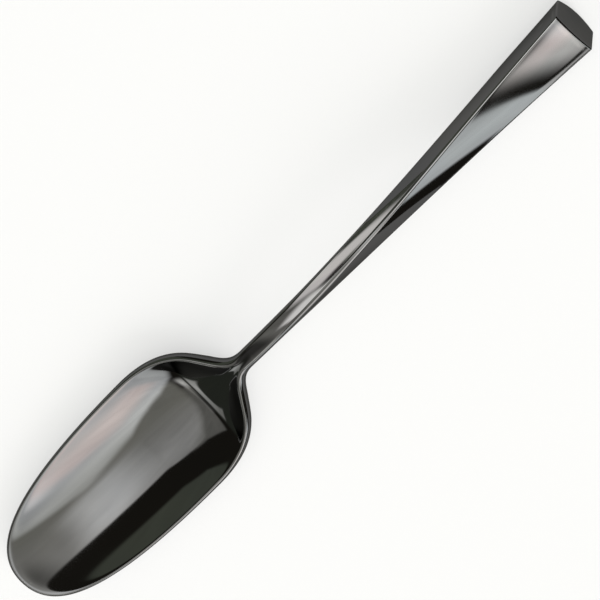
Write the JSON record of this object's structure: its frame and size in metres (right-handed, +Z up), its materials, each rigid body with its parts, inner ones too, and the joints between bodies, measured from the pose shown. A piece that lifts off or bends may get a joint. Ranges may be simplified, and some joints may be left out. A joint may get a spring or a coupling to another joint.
{
  "type": "tablespoon",
  "caption": "Tablespoon in dark polished steel with an elongated bowl, a narrow neck and a hollow bar handle that twists and widens to a leaning cut end.",
  "frame": {"origin": "middle of the bounding box in X and Y, at the plane the spoon rests on", "axes": "+X along the spoon from the bowl's tip to the handle's end, +Y to the spoon's left, +Z up out of the bowl"},
  "size_m": [0.206, 0.0372, 0.0185],
  "materials": {
    "dark_steel": "polished",
    "cement": "matte"
  },
  "bodies": {
    "root": {"bowl_forging": "dark_steel", "handle_upper_shell": "dark_steel", "handle_lower_shell": "dark_steel", "handle_end_cap": "dark_steel", "handle_core": "cement"}
  },
  "joints": []
}
